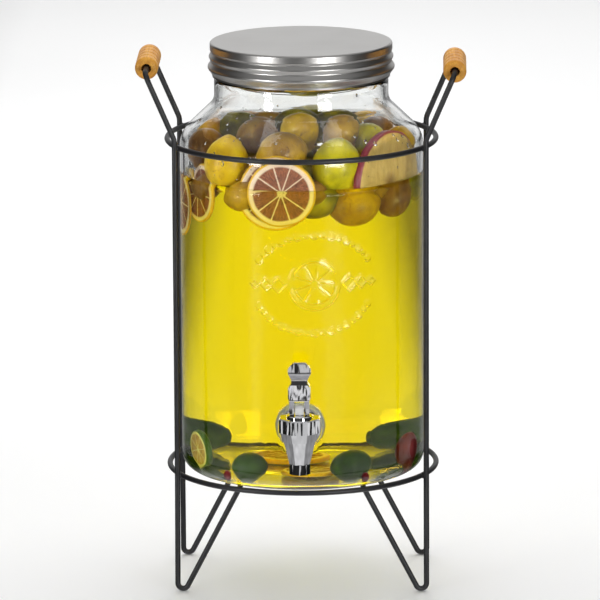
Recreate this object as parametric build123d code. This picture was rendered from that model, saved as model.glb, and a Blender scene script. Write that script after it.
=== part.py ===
from build123d import *
import math
import os

# Glass drinks dispenser in a wire stand. Millimetres, +Z up, front is -Y.
# The origin is on the floor, under the middle of the stand.

# ---- stand: wire, rings and the two bent side wires -------------------------
WIRE_D = 4.2
RING_R = 105.0                  # centreline radius of both rings
UPPER_RING_Z = 351.6
LOWER_RING_Z = 91.1
POST_X = 97.3                   # the four upright wires stand outside the rings
WELD_SINK = 0.3                 # how far a wire is pressed into a ring when welded
FOOT_X = 97.5
FOOT_Y = 57.2
FOOT_BEND_R = 4.2
RUN_X = 47.0                    # the runs under the jar that carry it
HANDLE_X = 119.7
HANDLE_Z = 410.0
HANDLE_BEND_Z = 358.0           # where the uprights lean out towards the handle
HANDLE_CORNER_R = 8.6
LEAN_BEND_R = 12.0
SPLAY_BEND_R = 25.0
RUN_CORNER_R = 7.0
WIRE_END_GAP = 0.4              # the wire's two ends meet inside the grip
WELD_BEAD_R = 2.5

# ---- wooden grips ------------------------------------------------------------
GRIP_D = 18.0
GRIP_LENGTH = 62.0
RIGHT_GRIP_Y = -8.0             # both grips are loose and have slid along their wires,
LEFT_GRIP_Y = 7.5               # one up to the front bend and one to the back
GRIP_BORE_D = WIRE_D + 0.16
GRIP_MOUTH_D = 7.6
GRIP_MOUTH_DEPTH = 9.0
GRIP_END_R = 3.2
GROOVE_DEPTH = 0.7
GROOVE_WIDTH = 3.0
GROOVE_COUNT = 4
GROOVE_PITCH = 12.5

# ---- glass jar ----------------------------------------------------------------
JAR_R = 95.2
WALL = 3.8
BASE_THICKNESS = 5.0
REST_GAP = 0.3                  # air between the jar and the wires that carry it
HEEL_R = 12.0
RECESS_R = 38.0
RECESS_DEPTH = 1.6
SHOULDER_Z = 355.4              # where the wall and the shoulder slope would meet
SHOULDER_ROUND_R = 22.0
NECK_R = 68.0
NECK_Z = 381.7                  # where the shoulder slope and the neck would meet
NECK_ROUND_R = 12.0
COLLAR_TOP_Z = 399.6            # top of the plain neck, just under the lid
FINISH_R = 66.0                 # plain part of the threaded finish
JAR_TOP_Z = 424.0
LIP_ROUND_R = 0.7
THREAD_CREST_R = 68.1
THREAD_PITCH = 6.4
THREAD_TURNS = 1.5
THREAD_START_Z = 405.6
THREAD_ROOT = 1.0               # how deep the thread's section starts inside the neck
THREAD_HALF_WIDTH = 2.3
THREAD_LAND = 0.8
BOSS_R = 18.5                   # flat thickened spot around the tap hole
BOSS_OUT = 1.0
BOSS_IN = 1.9

# ---- screw lid ------------------------------------------------------------------
LID_TOP_Z = 427.6
LID_SHEET = 0.8
LID_R = 71.2
LID_EDGE_R = 1.6
LID_BENDS = (                   # radius, depth below the top, rounding of each bend in the skirt
    (71.2, 6.0, 0.9),
    (70.1, 7.6, 1.0),
    (72.2, 11.4, 1.7),
    (70.4, 14.8, 1.6),
    (73.4, 19.6, 2.4),
    (69.5, 25.0, 1.4),
    (69.4, 26.7, 0.0),
)
LINER_R = 69.2
LINER_GAP = 0.1
LID_LINER_AIR = 0.3

# ---- tap --------------------------------------------------------------------------
TAP_Z = 142.0                   # height of the hole through the glass
HOLE_R = 8.2
WASHER_R = 16.6
WASHER_THICKNESS = 2.0
WASHER_CLEARANCE = 0.1
SLIP_WASHER_R = 15.0
SLIP_WASHER_THICKNESS = 1.2
SHANK_R = 7.6
SHANK_CORE_R = 6.9
SHANK_PITCH = 2.0
SHANK_PLAIN = 8.0
SHANK_LENGTH = 25.0
SHANK_BORE_R = 4.9
FLANGE_R = 15.6
FLANGE_THICKNESS = 2.2
NUT_FLATS = 24.0
NUT_THICKNESS = 9.0
NUT_FLANGE_R = 14.2
NUT_FLANGE = 2.0
NUT_BORE_R = SHANK_R + 0.05
BARREL_Y = -117.6               # axis of the upright tap barrel
NECK_TUBE_R = 8.4
HEAD_FLATS = 31.4               # across the flats of the eight-sided head
HEAD_TOP_Z = 154.4
HEAD_STEP_Z = 143.4
HEAD_CHAMFER = 0.9
HEAD_LOW_FLATS = 26.4
HEAD_BOTTOM_Z = 136.4
CONE_TOP_FLATS = 24.4
CONE_BOTTOM_FLATS = 15.6
CONE_BOTTOM_Z = 118.0
SPOUT_R = 8.2
SPOUT_BOTTOM_Z = 110.0
SEAT_Z = 121.5
SPOUT_BORE_R = 5.4
BARREL_BORE_R = 6.7
BONNET_R = 10.2
BONNET_TOP_Z = 156.4
BONNET_CHAMFER = 0.6
BONNET_PLUG_R = 8.6
BONNET_PLUG_BOTTOM_Z = 147.6
BONNET_CLEARANCE = 0.05
SEAL_Z = 151.0
SEAL_WIRE_R = 0.75
SEAL_GROOVE_R = 7.0
SEAL_GROOVE_HALF = 0.85
STEM_R = 2.2
STEM_CLEARANCE = 0.08
STEM_BOTTOM_Z = 123.5
PLUG_R = 6.2
PLUG_TOP_Z = 129.4
PLUG_NOSE = 1.8
PLUG_NOSE_R = 5.0
PLUG_LIFT_GAP = 0.3
PIN_Z = 159.8
PIN_R = 1.3
PIN_CLEARANCE = 0.05
PIN_HALF_LENGTH = 7.3
EYE_R = 4.6
EYE_HALF_WIDTH = 3.3
EYE_BOTTOM_Z = 156.9
SPRING_COLLAR_R = 5.4
SPRING_LOW_Z = 131.0
SPRING_WIRE_R = 0.45
SPRING_R = 4.4
SPRING_TURNS = 7
SPRING_END_GAP = 0.15

# ---- tap lever ----------------------------------------------------------------------
LEVER_BOTTOM_Z = 156.8
LEVER_WINDOW_HALF = 3.9
LEVER_WINDOW_TOP_Z = 168.6
LEVER_REACH = 12.0
LEVER_SIDE = (                  # distance in front of the barrel, height, rounding
    (5.0, LEVER_BOTTOM_Z, 1.6),
    (5.4, 163.0, 3.0),
    (8.6, 169.2, 1.2),
    (5.0, 180.6, 1.2),
    (4.6, 184.4, 1.4),
    (-2.4, 187.6, 2.2),
    (-1.6, 197.0, 1.2),
    (-5.2, 197.0, 1.2),
    (-6.0, 185.6, 3.0),
    (-0.6, 176.0, 4.0),
    (0.4, 168.6, 2.0),
    (-5.0, 164.0, 2.0),
    (-5.0, LEVER_BOTTOM_Z, 1.6),
)
LEVER_FRONT = (                 # half width, height, rounding, from the foot up
    (7.7, LEVER_BOTTOM_Z - 2.0, 0.4),
    (7.7, 168.8, 1.5),
    (8.65, 171.2, 1.5),
    (8.65, 178.4, 1.5),
    (6.2, 182.0, 1.2),
    (6.2, 184.6, 1.2),
    (8.85, 188.0, 1.8),
    (8.85, 192.2, 3.5),
    (4.6, 197.0, 2.6),
)

WIRE_R = WIRE_D / 2
JAR_BOTTOM_Z = LOWER_RING_Z - 2.4
RUN_Z = JAR_BOTTOM_Z - REST_GAP - WIRE_R
BOSS_FRONT_Y = -JAR_R - BOSS_OUT
BOSS_BACK_Y = -JAR_R + WALL + BOSS_IN
SHANK_FRONT_Y = BOSS_FRONT_Y - WASHER_THICKNESS
SHANK_BACK_Y = SHANK_FRONT_Y + SHANK_LENGTH
FLANGE_FRONT_Y = SHANK_FRONT_Y - FLANGE_THICKNESS
SLIP_FRONT_Y = BOSS_BACK_Y + WASHER_THICKNESS
NUT_FRONT_Y = SLIP_FRONT_Y + SLIP_WASHER_THICKNESS
POST_Y = math.sqrt((RING_R + WIRE_D - WELD_SINK) ** 2 - POST_X ** 2)


def revolve_profile(points, axis=Axis.Z):
    """Turn a closed outline given as (radius, height) pairs about the upright axis."""
    outline = Polyline(*[(r, 0, z) for r, z in points], close=True)
    return revolve(make_face(outline), axis)


def disc_along_y(radius, y_front, y_back, x=0.0, z=TAP_Z):
    """A round disc or rod lying along Y between two planes."""
    length = y_back - y_front
    middle = Location((x, (y_front + y_back) / 2, z), (90, 0, 0))
    return middle * Cylinder(radius, length)


def octagon_prism(flats, z_low, z_high, top_flats=None):
    """An upright eight-sided bar or taper around the tap barrel's axis."""
    turn = Rot(0, 0, 22.5)
    low = Plane.XY.offset(z_low) * turn * RegularPolygon(flats / 2, 8, major_radius=False)
    if top_flats is None:
        return Pos(0, BARREL_Y, 0) * extrude(low, z_high - z_low)
    high = Plane.XY.offset(z_high) * turn * RegularPolygon(top_flats / 2, 8, major_radius=False)
    return Pos(0, BARREL_Y, 0) * loft([low, high])


# ---- stand ---------------------------------------------------------------------------
def foot_corner_z():
    """Height of the sharp corner that puts the rounded foot exactly on the floor."""
    corner_z = -10.0
    for _ in range(8):
        corner = Vector(FOOT_X, FOOT_Y, corner_z)
        up_post = (Vector(POST_X, POST_Y, LOWER_RING_Z) - corner).normalized()
        up_brace = (Vector(RUN_X, FOOT_Y, RUN_Z) - corner).normalized()
        half_angle = math.radians(up_post.get_angle(up_brace)) / 2
        bisector = (up_post + up_brace).normalized()
        normal = up_post.cross(up_brace).normalized()
        centre_z = FOOT_BEND_R / math.sin(half_angle) * bisector.Z
        lowest = centre_z - FOOT_BEND_R * math.sqrt(1 - normal.Z ** 2)
        corner_z = WIRE_R - lowest
    return corner_z


def side_wire():
    """One side of the stand: handle bar, two uprights, two feet and the run under the jar."""
    half = [
        (HANDLE_X, WIRE_END_GAP / 2, HANDLE_Z),
        (HANDLE_X, POST_Y, HANDLE_Z),
        (POST_X, POST_Y, HANDLE_BEND_Z),
        (POST_X, POST_Y, LOWER_RING_Z),
        (FOOT_X, FOOT_Y, foot_corner_z()),
        (RUN_X, FOOT_Y, RUN_Z),
    ]
    half_radii = [HANDLE_CORNER_R, LEAN_BEND_R, SPLAY_BEND_R, FOOT_BEND_R, RUN_CORNER_R]
    other_half = [(x, -y, z) for x, y, z in reversed(half)]
    path = FilletPolyline(*half, *other_half, radius=half_radii + half_radii[::-1])
    section = Plane(path @ 0, z_dir=path % 0) * Circle(WIRE_R)
    return sweep(section, path)


def ring(z):
    return Pos(0, 0, z) * Torus(RING_R, WIRE_R)


def ring_welds():
    """Weld nuggets where the four uprights cross the two rings."""
    beads = []
    contact = (RING_R + WIRE_R - WELD_SINK / 2) / (RING_R + WIRE_D - WELD_SINK)
    for z in (LOWER_RING_Z, UPPER_RING_Z):
        for sx in (-1, 1):
            for sy in (-1, 1):
                place = Pos(sx * POST_X * contact, sy * POST_Y * contact, z)
                beads.append(place * Sphere(WELD_BEAD_R))
    return Compound(children=beads)


def grip(middle_y):
    """Turned wooden barrel with shallow grooves and opened-out ends, on the right handle bar."""
    half = GRIP_LENGTH / 2
    body = Cylinder(GRIP_D / 2, GRIP_LENGTH)
    body = fillet(body.edges().filter_by(GeomType.CIRCLE), GRIP_END_R)
    body -= Cylinder(GRIP_BORE_D / 2, GRIP_LENGTH)
    for end in (-1, 1):
        mouth = Pos(0, 0, end * (half - GRIP_MOUTH_DEPTH / 2))
        body -= mouth * Cylinder(GRIP_MOUTH_D / 2, GRIP_MOUTH_DEPTH)
    groove_offset = math.hypot(GROOVE_WIDTH / 2, GROOVE_DEPTH)
    cutter_r = groove_offset ** 2 / (2 * GROOVE_DEPTH)
    for i in range(GROOVE_COUNT):
        z = (i - (GROOVE_COUNT - 1) / 2) * GROOVE_PITCH
        body -= Pos(0, 0, z) * Torus(GRIP_D / 2 + cutter_r - GROOVE_DEPTH, cutter_r)
    return Location((HANDLE_X, middle_y, HANDLE_Z), (90, 0, 0)) * body


# ---- jar -------------------------------------------------------------------------------
def jar_half_section(inset, bottom_z, heel_r, top_z):
    """Closed half outline of the jar, moved in by inset, as a face in the XZ plane."""
    slope = (NECK_Z - SHOULDER_Z) / (JAR_R - NECK_R)
    half_turn = (math.pi / 2 - math.atan(slope)) / 2
    drop = inset * math.tan(half_turn)
    wall_r = JAR_R - inset
    neck_r = NECK_R - inset
    shoulder_z = SHOULDER_Z - drop
    neck_z = NECK_Z - drop
    outline = FilletPolyline(
        (0, 0, bottom_z),
        (wall_r, 0, bottom_z),
        (wall_r, 0, shoulder_z),
        (neck_r, 0, neck_z),
        (neck_r, 0, top_z),
        radius=[heel_r, SHOULDER_ROUND_R - inset, NECK_ROUND_R + inset],
    )
    closing = Polyline((neck_r, 0, top_z), (0, 0, top_z), (0, 0, bottom_z))
    return make_face(outline + closing)


def jar_glass():
    outside = revolve(jar_half_section(0, JAR_BOTTOM_Z, HEEL_R, COLLAR_TOP_Z), Axis.Z)
    finish = Pos(0, 0, (COLLAR_TOP_Z + JAR_TOP_Z) / 2) * Cylinder(FINISH_R, JAR_TOP_Z - COLLAR_TOP_Z)
    outside += finish
    outside += disc_along_y(BOSS_R, BOSS_FRONT_Y, -JAR_R + 2 * WALL)
    outside += neck_thread()
    cavity = revolve(
        jar_half_section(WALL, JAR_BOTTOM_Z + BASE_THICKNESS, HEEL_R - WALL / 2, JAR_TOP_Z + 1), Axis.Z
    )
    cavity -= disc_along_y(BOSS_R, -JAR_R, BOSS_BACK_Y)
    jar = outside - cavity
    jar -= disc_along_y(HOLE_R, -JAR_R - 4 * WALL, -JAR_R + 4 * WALL)
    jar -= Pos(0, 0, JAR_BOTTOM_Z) * Cylinder(RECESS_R, 2 * RECESS_DEPTH)
    lip = [e for e in jar.edges().filter_by(GeomType.CIRCLE) if abs(e.center().Z - JAR_TOP_Z) < 0.01]
    return fillet(lip, LIP_ROUND_R)


def neck_thread():
    """The raised screw thread of the neck finish, as a helical ridge."""
    path = Helix(pitch=THREAD_PITCH, height=THREAD_PITCH * THREAD_TURNS, radius=FINISH_R)
    across = Plane(path @ 0, x_dir=(1, 0, 0), z_dir=path % 0)
    ridge = Polyline(
        (-THREAD_ROOT, -THREAD_HALF_WIDTH),
        (THREAD_CREST_R - FINISH_R, -THREAD_LAND / 2),
        (THREAD_CREST_R - FINISH_R, THREAD_LAND / 2),
        (-THREAD_ROOT, THREAD_HALF_WIDTH),
        close=True,
    )
    section = across * make_face(ridge)
    return Pos(0, 0, THREAD_START_Z) * sweep(section, path, is_frenet=True)


# ---- lid -------------------------------------------------------------------------------
def lid_skirt_points(inset):
    """Bends of the lid's sheet from the middle of the top to the rim, moved in by inset."""
    top = LID_TOP_Z - inset
    points = [(0, 0, top), (LID_R - inset, 0, top)]
    for radius, depth, _ in LID_BENDS:
        points.append((radius - inset, 0, LID_TOP_Z - depth))
    return points


def screw_lid():
    """Pressed sheet lid with a plain band and two rolled beads in its skirt."""
    radii = [bend_r for _, _, bend_r in LID_BENDS[:-1]]
    outer = FilletPolyline(*lid_skirt_points(0), radius=[LID_EDGE_R] + radii)
    inner = FilletPolyline(*lid_skirt_points(LID_SHEET), radius=[LID_EDGE_R - LID_SHEET] + radii)
    rim = Line(outer @ 1, inner @ 1)
    middle = Line(outer @ 0, inner @ 0)
    return revolve(make_face(outer + rim + inner + middle), Axis.Z)


def lid_liner():
    """Soft flat disc inside the lid that seals on the jar's rim."""
    low = JAR_TOP_Z + LINER_GAP
    high = LID_TOP_Z - LID_SHEET - LID_LINER_AIR
    return Pos(0, 0, (low + high) / 2) * Cylinder(LINER_R, high - low)


# ---- tap -------------------------------------------------------------------------------
def washer(outer_r, inner_r, y_front, thickness):
    back = y_front + thickness
    return disc_along_y(outer_r, y_front, back) - disc_along_y(inner_r, y_front, back)


def threaded_shank():
    """Shank that passes through the glass, with the nut's thread as fine ridges."""
    shank = disc_along_y(SHANK_CORE_R, SHANK_FRONT_Y, SHANK_BACK_Y)
    plain_end = SHANK_FRONT_Y + SHANK_PLAIN
    shank += disc_along_y(SHANK_R, SHANK_FRONT_Y, plain_end)
    count = int((SHANK_BACK_Y - plain_end) / SHANK_PITCH)
    for i in range(count):
        start = plain_end + (i + 0.5) * SHANK_PITCH
        shank += disc_along_y(SHANK_R, start, start + SHANK_PITCH / 2)
    return shank


def tap_body():
    """Flange, shank, short neck, eight-sided head and the faceted cone down to the spout."""
    body = threaded_shank()
    body += disc_along_y(FLANGE_R, FLANGE_FRONT_Y, SHANK_FRONT_Y)
    body += disc_along_y(NECK_TUBE_R, BARREL_Y, FLANGE_FRONT_Y)
    head = octagon_prism(HEAD_FLATS, HEAD_STEP_Z, HEAD_TOP_Z)
    top_edges = head.edges().group_by(Axis.Z)[-1]
    body += chamfer(top_edges, HEAD_CHAMFER)
    body += octagon_prism(HEAD_LOW_FLATS, HEAD_BOTTOM_Z, HEAD_STEP_Z, HEAD_FLATS - 2 * HEAD_CHAMFER)
    body += octagon_prism(CONE_BOTTOM_FLATS, CONE_BOTTOM_Z, HEAD_BOTTOM_Z, CONE_TOP_FLATS)
    spout_height = CONE_BOTTOM_Z - SPOUT_BOTTOM_Z
    body += Pos(0, BARREL_Y, SPOUT_BOTTOM_Z + spout_height / 2) * Cylinder(SPOUT_R, spout_height)
    body -= barrel_rod(SPOUT_BORE_R, SPOUT_BOTTOM_Z, SEAT_Z)
    body -= barrel_rod(BARREL_BORE_R, SEAT_Z, BONNET_PLUG_BOTTOM_Z)
    body -= barrel_rod(BONNET_PLUG_R + BONNET_CLEARANCE, BONNET_PLUG_BOTTOM_Z, HEAD_TOP_Z)
    body -= disc_along_y(SHANK_BORE_R, BARREL_Y, SHANK_BACK_Y)
    return body


def barrel_rod(radius, z_low, z_high):
    """An upright rod on the tap barrel's axis."""
    return Pos(0, BARREL_Y, (z_low + z_high) / 2) * Cylinder(radius, z_high - z_low)


def tap_bonnet():
    """Cap that closes the top of the barrel and guides the stem."""
    bonnet = barrel_rod(BONNET_PLUG_R, BONNET_PLUG_BOTTOM_Z, HEAD_TOP_Z)
    rim = barrel_rod(BONNET_R, HEAD_TOP_Z, BONNET_TOP_Z)
    bonnet += chamfer(rim.edges().group_by(Axis.Z)[-1], BONNET_CHAMFER)
    bonnet -= barrel_rod(STEM_R + STEM_CLEARANCE, BONNET_PLUG_BOTTOM_Z, BONNET_TOP_Z)
    groove = barrel_rod(BONNET_PLUG_R, SEAL_Z - SEAL_GROOVE_HALF, SEAL_Z + SEAL_GROOVE_HALF)
    groove -= barrel_rod(SEAL_GROOVE_R, SEAL_Z - SEAL_GROOVE_HALF, SEAL_Z + SEAL_GROOVE_HALF)
    return bonnet - groove


def bonnet_seal():
    ring_r = (BONNET_PLUG_R + SEAL_GROOVE_R) / 2
    return Pos(0, BARREL_Y, SEAL_Z) * Torus(ring_r, SEAL_WIRE_R)


def valve_stem():
    """Rod from the plug up through the bonnet, with a spring collar and an eye for the pin."""
    stem = barrel_rod(STEM_R, STEM_BOTTOM_Z, PIN_Z)
    stem += barrel_rod(SPRING_COLLAR_R, PLUG_TOP_Z, SPRING_LOW_Z)
    eye = Location((0, BARREL_Y, PIN_Z), (0, 90, 0)) * Cylinder(EYE_R, 2 * EYE_HALF_WIDTH)
    below = Pos(0, BARREL_Y, EYE_BOTTOM_Z - EYE_R) * Box(4 * EYE_R, 4 * EYE_R, 2 * EYE_R)
    stem += eye - below
    stem -= Location((0, BARREL_Y, PIN_Z), (0, 90, 0)) * Cylinder(PIN_R, 4 * EYE_R)
    return stem


def valve_plug():
    """Soft plug that closes the seat at the top of the spout."""
    low = SEAT_Z + PLUG_LIFT_GAP
    outline = [
        (0, low - PLUG_NOSE),
        (PLUG_NOSE_R - 1.0, low - PLUG_NOSE),
        (PLUG_NOSE_R, low),
        (PLUG_R, low),
        (PLUG_R, PLUG_TOP_Z),
        (STEM_R, PLUG_TOP_Z),
        (STEM_R, STEM_BOTTOM_Z),
        (0, STEM_BOTTOM_Z),
    ]
    return Pos(0, BARREL_Y, 0) * revolve_profile(outline)


def stem_spring():
    """Closing spring between the stem's collar and the bonnet."""
    low = SPRING_LOW_Z + SPRING_WIRE_R + SPRING_END_GAP
    height = BONNET_PLUG_BOTTOM_Z - SPRING_WIRE_R - SPRING_END_GAP - low
    coil = Helix(pitch=height / SPRING_TURNS, height=height, radius=SPRING_R)
    section = Plane(coil @ 0, z_dir=coil % 0) * Circle(SPRING_WIRE_R)
    return Pos(0, BARREL_Y, low) * sweep(section, coil, is_frenet=True)


def lever_pin():
    return Location((0, BARREL_Y, PIN_Z), (0, 90, 0)) * Cylinder(PIN_R, 2 * PIN_HALF_LENGTH)


def tap_lever():
    """Two rails astride the stem's eye, a thumb pad above them and a dished finger rest."""
    side = FilletPolyline(
        *[(0, BARREL_Y - forward, z) for forward, z, _ in LEVER_SIDE],
        radius=[r for _, _, r in LEVER_SIDE],
        close=True,
    )
    front_half = [(x, z, r) for x, z, r in LEVER_FRONT]
    mirrored = [(-x, z, r) for x, z, r in reversed(LEVER_FRONT)]
    front = FilletPolyline(
        *[(x, BARREL_Y, z) for x, z, _ in front_half + mirrored],
        radius=[r for _, _, r in front_half + mirrored],
        close=True,
    )
    from_side = extrude(make_face(side), LEVER_REACH, dir=(1, 0, 0), both=True)
    from_front = extrude(make_face(front), LEVER_REACH, dir=(0, 1, 0), both=True)
    lever = from_side & from_front
    window_height = LEVER_WINDOW_TOP_Z - LEVER_BOTTOM_Z
    window = Box(2 * LEVER_WINDOW_HALF, 2 * LEVER_REACH, 2 * window_height)
    lever -= Pos(0, BARREL_Y, LEVER_BOTTOM_Z) * window
    hole = Cylinder(PIN_R + PIN_CLEARANCE, 2 * LEVER_REACH)
    return lever - Location((0, BARREL_Y, PIN_Z), (0, 90, 0)) * hole


def lock_nut():
    """Six-sided plastic nut that pulls the flange and the washers up to the glass."""
    hexagon = Plane.XZ * RegularPolygon(NUT_FLATS / 2, 6, major_radius=False)
    nut = Pos(0, NUT_FRONT_Y + NUT_THICKNESS, TAP_Z) * extrude(hexagon, NUT_THICKNESS)
    nut += disc_along_y(NUT_FLANGE_R, NUT_FRONT_Y, NUT_FRONT_Y + NUT_FLANGE)
    return nut - disc_along_y(NUT_BORE_R, NUT_FRONT_Y, NUT_FRONT_Y + NUT_THICKNESS)


# ---- write every sub-part ----------------------------------------------------------------
right_side_wire = side_wire()
tap_hole_r = SHANK_R + WASHER_CLEARANCE
parts = {
    "right_side_wire": right_side_wire,
    "left_side_wire": mirror(right_side_wire, about=Plane.YZ),
    "upper_ring": ring(UPPER_RING_Z),
    "lower_ring": ring(LOWER_RING_Z),
    "ring_welds": ring_welds(),
    "right_grip": grip(RIGHT_GRIP_Y),
    "left_grip": mirror(grip(LEFT_GRIP_Y), about=Plane.YZ),
    "jar_glass": jar_glass(),
    "screw_lid": screw_lid(),
    "lid_liner": lid_liner(),
    "tap_body": tap_body(),
    "tap_bonnet": tap_bonnet(),
    "bonnet_seal": bonnet_seal(),
    "valve_stem": valve_stem(),
    "valve_plug": valve_plug(),
    "stem_spring": stem_spring(),
    "lever_pin": lever_pin(),
    "tap_lever": tap_lever(),
    "outer_washer": washer(WASHER_R, tap_hole_r, SHANK_FRONT_Y, WASHER_THICKNESS),
    "inner_washer": washer(WASHER_R, tap_hole_r, BOSS_BACK_Y, WASHER_THICKNESS),
    "slip_washer": washer(SLIP_WASHER_R, tap_hole_r, SLIP_FRONT_Y, SLIP_WASHER_THICKNESS),
    "lock_nut": lock_nut(),
}

os.makedirs("parts", exist_ok=True)
for name, shape in parts.items():
    export_step(shape, f"parts/{name}.step")
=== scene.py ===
import bpy
import math
import random

import bmesh
import numpy as np
from mathutils import Matrix, Vector, noise


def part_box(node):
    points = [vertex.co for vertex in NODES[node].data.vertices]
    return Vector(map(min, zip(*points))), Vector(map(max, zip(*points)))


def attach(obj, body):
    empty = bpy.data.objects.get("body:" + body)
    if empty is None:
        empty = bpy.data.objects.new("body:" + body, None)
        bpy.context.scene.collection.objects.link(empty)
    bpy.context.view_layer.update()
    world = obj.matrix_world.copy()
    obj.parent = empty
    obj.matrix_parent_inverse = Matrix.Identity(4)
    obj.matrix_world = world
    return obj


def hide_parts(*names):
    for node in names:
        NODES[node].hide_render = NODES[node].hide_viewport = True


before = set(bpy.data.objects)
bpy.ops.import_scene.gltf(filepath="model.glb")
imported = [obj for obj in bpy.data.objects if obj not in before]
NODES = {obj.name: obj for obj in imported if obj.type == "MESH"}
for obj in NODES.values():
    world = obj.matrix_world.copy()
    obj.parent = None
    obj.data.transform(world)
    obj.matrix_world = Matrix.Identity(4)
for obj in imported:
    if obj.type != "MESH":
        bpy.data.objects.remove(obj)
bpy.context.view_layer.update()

MM = 0.001
PLATED = ["tap_body", "tap_bonnet", "tap_lever"]


# ---------------------------------------------------------------- sizes taken from the frame
def node_size(name):
    """Lowest and highest corner of a CAD node, in millimetres."""
    low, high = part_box(name)
    return [v / MM for v in low], [v / MM for v in high]


GLASS_LOW, GLASS_HIGH = node_size("jar_glass")
LID_LOW, LID_HIGH = node_size("screw_lid")
JAR_R = GLASS_HIGH[0]
JAR_BOTTOM = GLASS_LOW[2]
JAR_TOP = GLASS_HIGH[2]
BOSS_FRONT = GLASS_LOW[1]
WASHER_LOW, WASHER_HIGH = node_size("outer_washer")
TAP_Z = (WASHER_LOW[2] + WASHER_HIGH[2]) / 2
INNER_WASHER_LOW, _ = node_size("inner_washer")
BOSS_BACK = INNER_WASHER_LOW[1]

# jar form, millimetres
WALL = 3.8
BASE = 5.0
HEEL_R = 12.0
NECK_R = 68.0
FINISH_R = 66.0
FINISH_STEP_Z = LID_LOW[2] - 1.3
SHOULDER_Z = 355.4
NECK_Z = 381.7
SHOULDER_ROUND = 22.0
NECK_ROUND = 12.0
RECESS_R = 38.0
RECESS_DEPTH = 1.6
HOLE_R = 8.2
BOSS_R = 18.5
THREAD_PITCH = 6.4
THREAD_TURNS = 1.5
THREAD_START_Z = 405.6
THREAD_HEIGHT = 2.0
LIQUID_Z = 325.0
MENISCUS = 1.6

# emblem on the front of the glass, millimetres
EMBLEM_TURN = math.radians(7.0)
EMBLEM_Z = 254.0
EMBLEM_HALF_WIDTH = 58.0
EMBLEM_HALF_HEIGHT = 46.0
EMBLEM_RELIEF = 0.98
EMBLEM_STEP = 0.45

DROP_COUNT = 150


# ---------------------------------------------------------------- node helpers
class Nodes:
    """Short way to build a material's node tree."""

    def __init__(self, name):
        self.material = bpy.data.materials.new(name)
        self.material.use_nodes = True
        self.tree = self.material.node_tree
        self.tree.nodes.clear()
        self.output = self.tree.nodes.new("ShaderNodeOutputMaterial")

    def add(self, kind, inputs=None, **settings):
        node = self.tree.nodes.new("ShaderNode" + kind)
        for key, value in settings.items():
            setattr(node, key, value)
        for key, value in (inputs or {}).items():
            self.set(node.inputs[key], value)
        return node

    def set(self, socket, value):
        if isinstance(value, bpy.types.NodeSocket):
            self.tree.links.new(value, socket)
        else:
            socket.default_value = value

    def coords(self, scale=(1, 1, 1)):
        place = self.add("TexCoord")
        mapping = self.add("Mapping", {"Vector": place.outputs["Object"], "Scale": scale})
        return mapping.outputs["Vector"]

    def noise(self, vector, scale, detail=3.0, roughness=0.5, distortion=0.0):
        node = self.add("TexNoise", {
            "Vector": vector, "Scale": scale, "Detail": detail,
            "Roughness": roughness, "Distortion": distortion,
        })
        return node.outputs["Fac"]

    def ramp(self, factor, stops):
        node = self.add("ValToRGB", {"Fac": factor})
        elements = node.color_ramp.elements
        while len(elements) < len(stops):
            elements.new(0.5)
        for element, (position, colour) in zip(elements, stops):
            element.position = position
            element.color = (*colour, 1.0)
        return node.outputs["Color"]

    def span(self, factor, low, high, from_low=0.0, from_high=1.0):
        node = self.add("MapRange", {
            "Value": factor, "From Min": from_low, "From Max": from_high,
            "To Min": low, "To Max": high,
        })
        return node.outputs["Result"]

    def mix(self, factor, a, b):
        node = self.add("Mix", data_type="RGBA")
        self.set(node.inputs[0], factor)
        self.set(node.inputs[6], a if not isinstance(a, tuple) else (*a, 1.0))
        self.set(node.inputs[7], b if not isinstance(b, tuple) else (*b, 1.0))
        return node.outputs[2]

    def math(self, operation, a, b=0.0):
        node = self.add("Math", operation=operation)
        self.set(node.inputs[0], a)
        self.set(node.inputs[1], b)
        return node.outputs[0]

    def bump(self, height, strength, distance, normal=None):
        inputs = {"Height": height, "Strength": strength, "Distance": distance}
        if normal is not None:
            inputs["Normal"] = normal
        return self.add("Bump", inputs).outputs["Normal"]

    def attribute(self, name):
        return self.add("Attribute", attribute_name=name).outputs["Fac"]

    def principled(self, **values):
        return self.add("BsdfPrincipled", {k.replace("_", " "): v for k, v in values.items()})

    def surface(self, shader):
        self.tree.links.new(shader.outputs[0], self.output.inputs["Surface"])
        return self.material

    def clear_surface(self, shader, lamp_colour):
        """Glass that bends what is seen through it and lets the lamps' light in."""
        path = self.add("LightPath")
        open_way = self.add("BsdfTransparent", {"Color": (*lamp_colour, 1.0)})
        both = self.add("MixShader", {0: path.outputs["Is Shadow Ray"]})
        self.tree.links.new(shader.outputs[0], both.inputs[1])
        self.tree.links.new(open_way.outputs[0], both.inputs[2])
        return self.surface(both)


# ---------------------------------------------------------------- materials
def powder_coat():
    n = Nodes("black_powder_coat")
    at = n.coords()
    fine = n.noise(at, 2600, 2.0)
    broad = n.noise(at, 60, 3.0)
    colour = n.ramp(broad, [(0.3, (0.008, 0.008, 0.009)), (0.7, (0.016, 0.016, 0.018))])
    rough = n.span(broad, 0.36, 0.5)
    bump = n.bump(fine, 0.25, 0.0002)
    return n.surface(n.principled(Base_Color=colour, Roughness=rough, Normal=bump, Specular_IOR_Level=0.6))


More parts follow.
